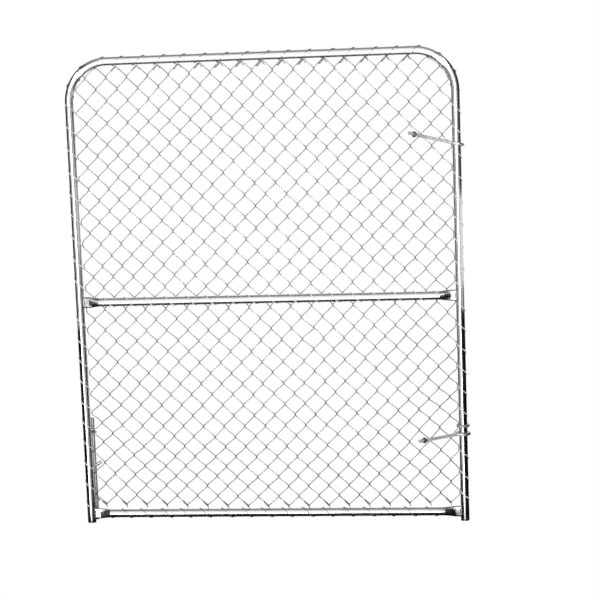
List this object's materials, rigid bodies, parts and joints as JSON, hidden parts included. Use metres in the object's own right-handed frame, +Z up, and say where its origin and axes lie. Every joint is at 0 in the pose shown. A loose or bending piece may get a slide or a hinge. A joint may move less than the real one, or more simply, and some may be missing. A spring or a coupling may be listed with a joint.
{
  "type": "chain-link gate leaf with two swivelling eye bolts and a drop bolt",
  "caption": "One leaf of a double-leaf mesh gate: bent tube hoop with flattened-end rails, laced chain-link, swivelling eye bolts and a drop bolt.",
  "frame": {"origin": "middle of the lower end of the hinge stile, on the stile's axis", "axes": "+Z up along the stiles, +X from the free stile towards the hinge stile, -Y towards the face that is looked at"},
  "size_m": [1.2528, 0.1441, 1.5023],
  "materials": {
    "galvanised_tube": "bright galvanised, smooth with a faint spangle",
    "mesh_wire": "galvanised drawn wire",
    "galvanised_rod": "hot-dip galvanised bar",
    "weld": "zinc-sprayed weld bead",
    "zinc_nut": "dull zinc"
  },
  "bodies": {
    "leaf": {"frame_hoop": "galvanised_tube", "mid_rail": "galvanised_tube", "bottom_rail": "galvanised_tube", "lower_mesh": "mesh_wire", "upper_mesh": "mesh_wire", "stop_collar": "galvanised_rod", "lower_guide_ring": "galvanised_rod", "upper_guide_ring": "galvanised_rod", "mid_rail_welds": "weld", "bottom_rail_welds": "weld", "free_stile_lacing": "mesh_wire", "top_lacing": "mesh_wire", "hinge_stile_lacing": "mesh_wire", "mid_rail_lacing": "mesh_wire", "bottom_rail_lacing": "mesh_wire"},
    "upper_hinge_bolt": {"upper_eye_bolt": "galvanised_rod", "upper_bolt_nut": "zinc_nut"},
    "lower_hinge_bolt": {"lower_eye_bolt": "galvanised_rod", "lower_bolt_nut": "zinc_nut"},
    "bolt": {"drop_bolt": "galvanised_rod"}
  },
  "joints": [
    {"name": "upper_hinge_swivel", "type": "hinge", "parent": "leaf", "child": "upper_hinge_bolt", "pos_m": [0, 0, 1.196], "axis": [0, 0, 1], "range_deg": [-16, 290]},
    {"name": "lower_hinge_swivel", "type": "hinge", "parent": "leaf", "child": "lower_hinge_bolt", "pos_m": [0, 0, 0.282], "axis": [0, 0, 1], "range_deg": [-24, 283]},
    {"name": "drop_bolt_slide", "type": "slide", "parent": "leaf", "child": "bolt", "axis": [0, 0, 1], "range_m": [-0.075, 0.03]}
  ]
}
